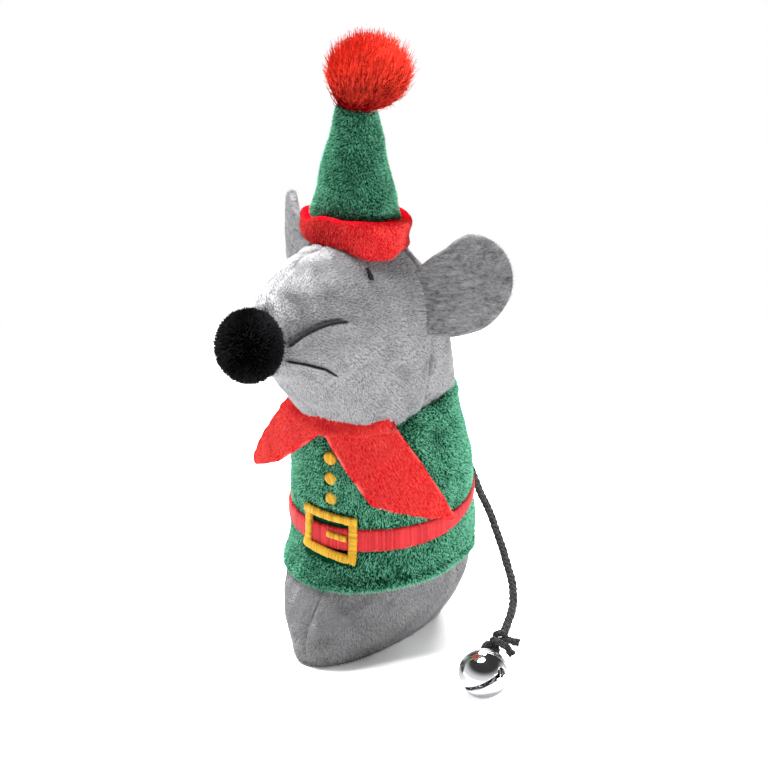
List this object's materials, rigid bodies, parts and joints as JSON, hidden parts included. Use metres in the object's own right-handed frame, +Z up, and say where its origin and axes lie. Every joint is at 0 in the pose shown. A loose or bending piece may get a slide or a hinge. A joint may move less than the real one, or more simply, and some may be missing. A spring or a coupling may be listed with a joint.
{
  "type": "plush mouse cat toy",
  "caption": "Standing plush mouse cat toy in an elf's hat, tunic and collar, with felt ears, pompom nose and a cord tail ending in a jingle bell.",
  "frame": {"origin": "centre of the flat base, on the surface that the toy stands on", "axes": "+Z up, -Y the way the toy faces, +X towards the toy's left side, where the tail cord comes round"},
  "size_m": [0.0823, 0.0877, 0.1517],
  "materials": {
    "grey_plush": "short grey plush pile",
    "grey_felt": "mottled grey felt",
    "green_plush": "short green plush pile",
    "red_plush": "short red plush pile",
    "red_fur": "long red faux fur",
    "red_thread": "red satin-stitch embroidery",
    "gold_thread": "gold satin-stitch embroidery",
    "black_yarn": "black yarn",
    "black_cord": "braided black cord",
    "white_fibre": "loose white fibre filling",
    "sachet_cloth": "thin undyed cloth",
    "bell_chrome": "bright plated steel"
  },
  "bodies": {
    "toy": {"body_left_panel": "grey_plush", "body_right_panel": "grey_plush", "body_back_panel": "grey_plush", "base_panel": "grey_plush", "body_stuffing": "white_fibre", "catnip_sachet": "sachet_cloth", "head_left_panel": "grey_plush", "head_right_panel": "grey_plush", "head_back_panel": "grey_plush", "head_stuffing": "white_fibre", "tunic": "green_plush", "belt": "red_thread", "buckle_frame": "gold_thread", "buckle_prong": "gold_thread", "button_1": "gold_thread", "button_2": "gold_thread", "button_3": "gold_thread", "hat_cone": "green_plush", "hat_stuffing": "white_fibre", "hat_brim": "red_plush", "hat_pompom": "red_fur", "nose_pompom": "black_yarn", "eye_stitch_left": "black_yarn", "eye_stitch_right": "black_yarn", "whisker_left_1": "black_yarn", "whisker_left_2": "black_yarn", "whisker_right_1": "black_yarn", "whisker_right_2": "black_yarn", "tail_anchor": "black_cord"},
    "ear_left": {"left_ear": "grey_felt"},
    "ear_right": {"right_ear": "grey_felt"},
    "flap_left": {"collar_left_flap": "red_plush"},
    "flap_right": {"collar_right_flap": "red_plush"},
    "tail_start": {"tail_root": "black_cord"},
    "tail": {"tail_cord": "black_cord", "tail_knot": "black_cord"},
    "bell": {"bell_upper_shell": "bell_chrome", "bell_lower_shell": "bell_chrome"},
    "pellet": {"bell_pellet": "bell_chrome"}
  },
  "joints": [
    {"name": "left_ear_fold", "type": "hinge", "parent": "toy", "child": "ear_left", "pos_m": [0.017, -0.0085, 0.093], "axis": [0, 0, 1], "range_deg": [-50, 5], "stiffness_Nm_per_rad": 0.001},
    {"name": "right_ear_fold", "type": "hinge", "parent": "toy", "child": "ear_right", "pos_m": [-0.017, -0.0085, 0.093], "axis": [0, 0, 1], "range_deg": [-5, 50], "stiffness_Nm_per_rad": 0.001},
    {"name": "left_flap_lift", "type": "hinge", "parent": "toy", "child": "flap_left", "pos_m": [-0.0012, -0.02297, 0.0574], "axis": [-0.9326, -0.3502, -0.0872], "range_deg": [0, 35], "stiffness_Nm_per_rad": 0.0005},
    {"name": "right_flap_lift", "type": "hinge", "parent": "toy", "child": "flap_right", "pos_m": [-0.00279, -0.02283, 0.0574], "axis": [-0.87, 0.4843, 0.0928], "range_deg": [0, 45], "stiffness_Nm_per_rad": 0.0005},
    {"name": "tail_swing", "type": "hinge", "parent": "toy", "child": "tail_start", "pos_m": [0, 0.0247, 0.041], "axis": [0, 0, 1], "range_deg": [-6, 125]},
    {"name": "tail_lift", "type": "hinge", "parent": "tail_start", "child": "tail", "pos_m": [0.00319, 0.02674, 0.04003], "axis": [-0.7636, -0.6457, 0], "range_deg": [-60, 70]},
    {"name": "bell_swing", "type": "hinge", "parent": "tail", "child": "bell", "pos_m": [0.04046, -0.01392, 0.0066], "axis": [0.9319, 0.3627, 0], "range_deg": [-10, 75]},
    {"name": "pellet_rattle", "type": "slide", "parent": "bell", "child": "pellet", "axis": [0, 0, 1], "range_m": [0, 0.0066]}
  ]
}
